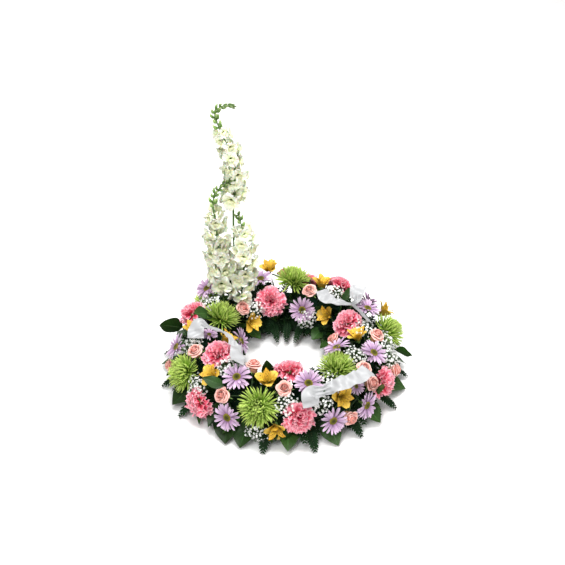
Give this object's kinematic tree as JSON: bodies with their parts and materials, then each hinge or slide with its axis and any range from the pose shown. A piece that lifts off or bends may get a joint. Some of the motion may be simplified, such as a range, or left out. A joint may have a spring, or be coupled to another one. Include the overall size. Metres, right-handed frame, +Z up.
{
  "type": "floral wreath",
  "caption": "Fresh-flower memorial wreath that lies flat: blooms and foliage in a foam ring on a shallow tray, with tall snapdragon spikes and satin ribbon.",
  "frame": {"origin": "centre of the ring, on the plane of the tray's flat underside", "axes": "+Z up; -Y to the front of the wreath, from which it is seen; the tall snapdragons stand at -X +Y, the back left"},
  "size_m": [0.5025, 0.4961, 0.5078],
  "materials": {
    "tray_plastic": "dark green moulded plastic",
    "wet_foam": "soaked fine-celled floral foam, dark green",
    "carnation_petal": "frilled pink petals, soft and matte",
    "mum_petal": "lime green needle petals, matte",
    "daisy_petal": "pale lavender petals, soft",
    "alstroemeria_petal": "golden yellow petals, soft sheen",
    "rose_petal": "peach pink petals, soft",
    "breath_bloom": "tiny white blooms, matte",
    "snapdragon_petal": "cream white petals with green buds, soft",
    "salal_leaf": "leathery green leaves, waxy sheen",
    "fern_leaf": "dark green fern leaflets, soft sheen",
    "satin_ribbon": "white satin, smooth sheen"
  },
  "bodies": {
    "root": {"tray": "tray_plastic", "foam": "wet_foam", "carnation_1": "carnation_petal", "carnation_2": "carnation_petal", "carnation_3": "carnation_petal", "carnation_4": "carnation_petal", "carnation_5": "carnation_petal", "carnation_6": "carnation_petal", "carnation_7": "carnation_petal", "carnation_8": "carnation_petal", "carnation_9": "carnation_petal", "carnation_10": "carnation_petal", "mum_1": "mum_petal", "mum_2": "mum_petal", "mum_3": "mum_petal", "mum_4": "mum_petal", "mum_5": "mum_petal", "mum_6": "mum_petal", "mum_7": "mum_petal", "daisy_spray_1": "daisy_petal", "daisy_spray_2": "daisy_petal", "daisy_spray_3": "daisy_petal", "daisy_spray_4": "daisy_petal", "daisy_spray_5": "daisy_petal", "daisy_spray_6": "daisy_petal", "daisy_spray_7": "daisy_petal", "alstroemeria_spray_1": "alstroemeria_petal", "alstroemeria_spray_2": "alstroemeria_petal", "alstroemeria_spray_3": "alstroemeria_petal", "alstroemeria_spray_4": "alstroemeria_petal", "alstroemeria_spray_5": "alstroemeria_petal", "alstroemeria_spray_6": "alstroemeria_petal", "alstroemeria_spray_7": "alstroemeria_petal", "alstroemeria_spray_8": "alstroemeria_petal", "rose_spray_1": "rose_petal", "rose_spray_2": "rose_petal", "rose_spray_3": "rose_petal", "rose_spray_4": "rose_petal", "rose_spray_5": "rose_petal", "rose_spray_6": "rose_petal", "snapdragon_1": "snapdragon_petal", "snapdragon_2": "snapdragon_petal", "snapdragon_3": "snapdragon_petal", "ribbon_1": "satin_ribbon", "ribbon_2": "satin_ribbon", "ribbon_3": "satin_ribbon", "breath_spray_1": "breath_bloom", "breath_spray_2": "breath_bloom", "breath_spray_3": "breath_bloom", "breath_spray_4": "breath_bloom", "breath_spray_5": "breath_bloom", "salal_skirt_1": "salal_leaf", "salal_skirt_2": "salal_leaf", "salal_skirt_3": "salal_leaf", "salal_inner_1": "salal_leaf", "salal_inner_2": "salal_leaf", "salal_inner_3": "salal_leaf", "fern_skirt_1": "fern_leaf", "fern_skirt_2": "fern_leaf", "fern_inner_1": "fern_leaf"}
  },
  "joints": []
}
